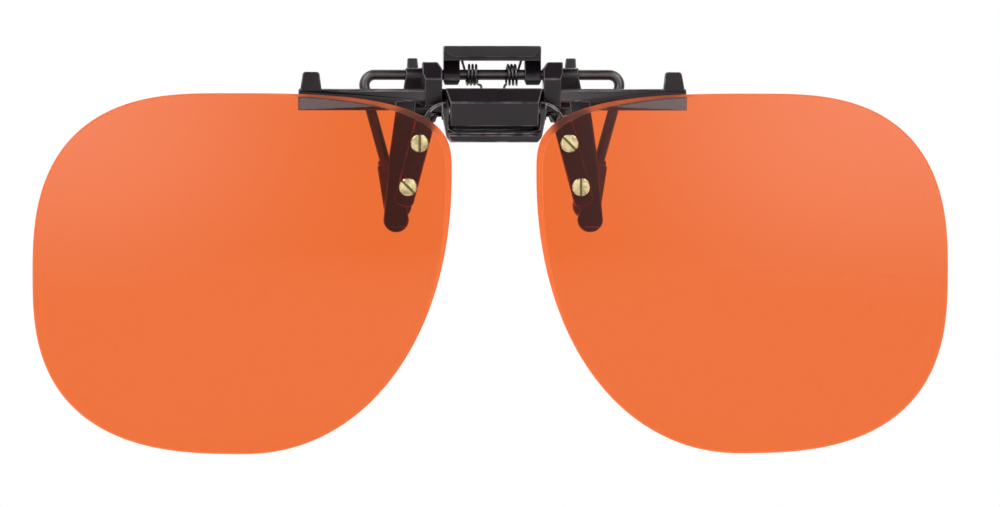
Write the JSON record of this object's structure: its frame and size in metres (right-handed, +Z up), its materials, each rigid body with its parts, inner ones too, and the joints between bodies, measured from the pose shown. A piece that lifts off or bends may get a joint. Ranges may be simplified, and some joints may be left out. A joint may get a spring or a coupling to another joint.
{
  "type": "clip-on filter glasses",
  "caption": "Flip-up clip-on glasses with rimless orange lenses and a sprung clamp that grips a pair of spectacles.",
  "frame": {"origin": "midway between the two claws, on the plane of the claws' rear faces where they touch the spectacle lenses, 16.5 mm below the line of the clamp wire", "axes": "+X runs across the face to the onlooker's right, +Y points back towards the wearer's face, +Z is up"},
  "size_m": [0.1302, 0.0118, 0.0578],
  "materials": {
    "black_moulding": "satin black moulding",
    "orange_lens": "polished clear orange resin",
    "screw_brass": "turned brass",
    "dark_wire": "dark oxidised drawn wire",
    "spring_wire": "dark drawn spring wire",
    "pin_steel": "ground steel",
    "soft_sleeve": "matt soft sleeve"
  },
  "bodies": {
    "clip": {"clip_body": "black_moulding", "spring_left": "spring_wire", "spring_right": "spring_wire"},
    "flip": {"lens_carrier": "black_moulding", "flip_pin": "pin_steel", "lens_left": "orange_lens", "lens_right": "orange_lens", "screw_upper_left": "screw_brass", "screw_lower_left": "screw_brass", "screw_upper_right": "screw_brass", "screw_lower_right": "screw_brass"},
    "clamp": {"clamp_wire": "dark_wire", "thumb_lever": "black_moulding", "shoe_left": "soft_sleeve", "shoe_right": "soft_sleeve"}
  },
  "joints": [
    {"name": "lens_flip", "type": "hinge", "parent": "clip", "child": "flip", "pos_m": [0, -0.004, 0.0113], "axis": [-1, 0, 0], "range_deg": [0, 90]},
    {"name": "clamp_open", "type": "hinge", "parent": "clip", "child": "clamp", "pos_m": [0, 0.0016, 0.0165], "axis": [1, 0, 0], "range_deg": [0, 28], "stiffness_Nm_per_rad": 0.012, "springref_deg": -85.94, "deforming": ["spring_left", "spring_right"]}
  ]
}
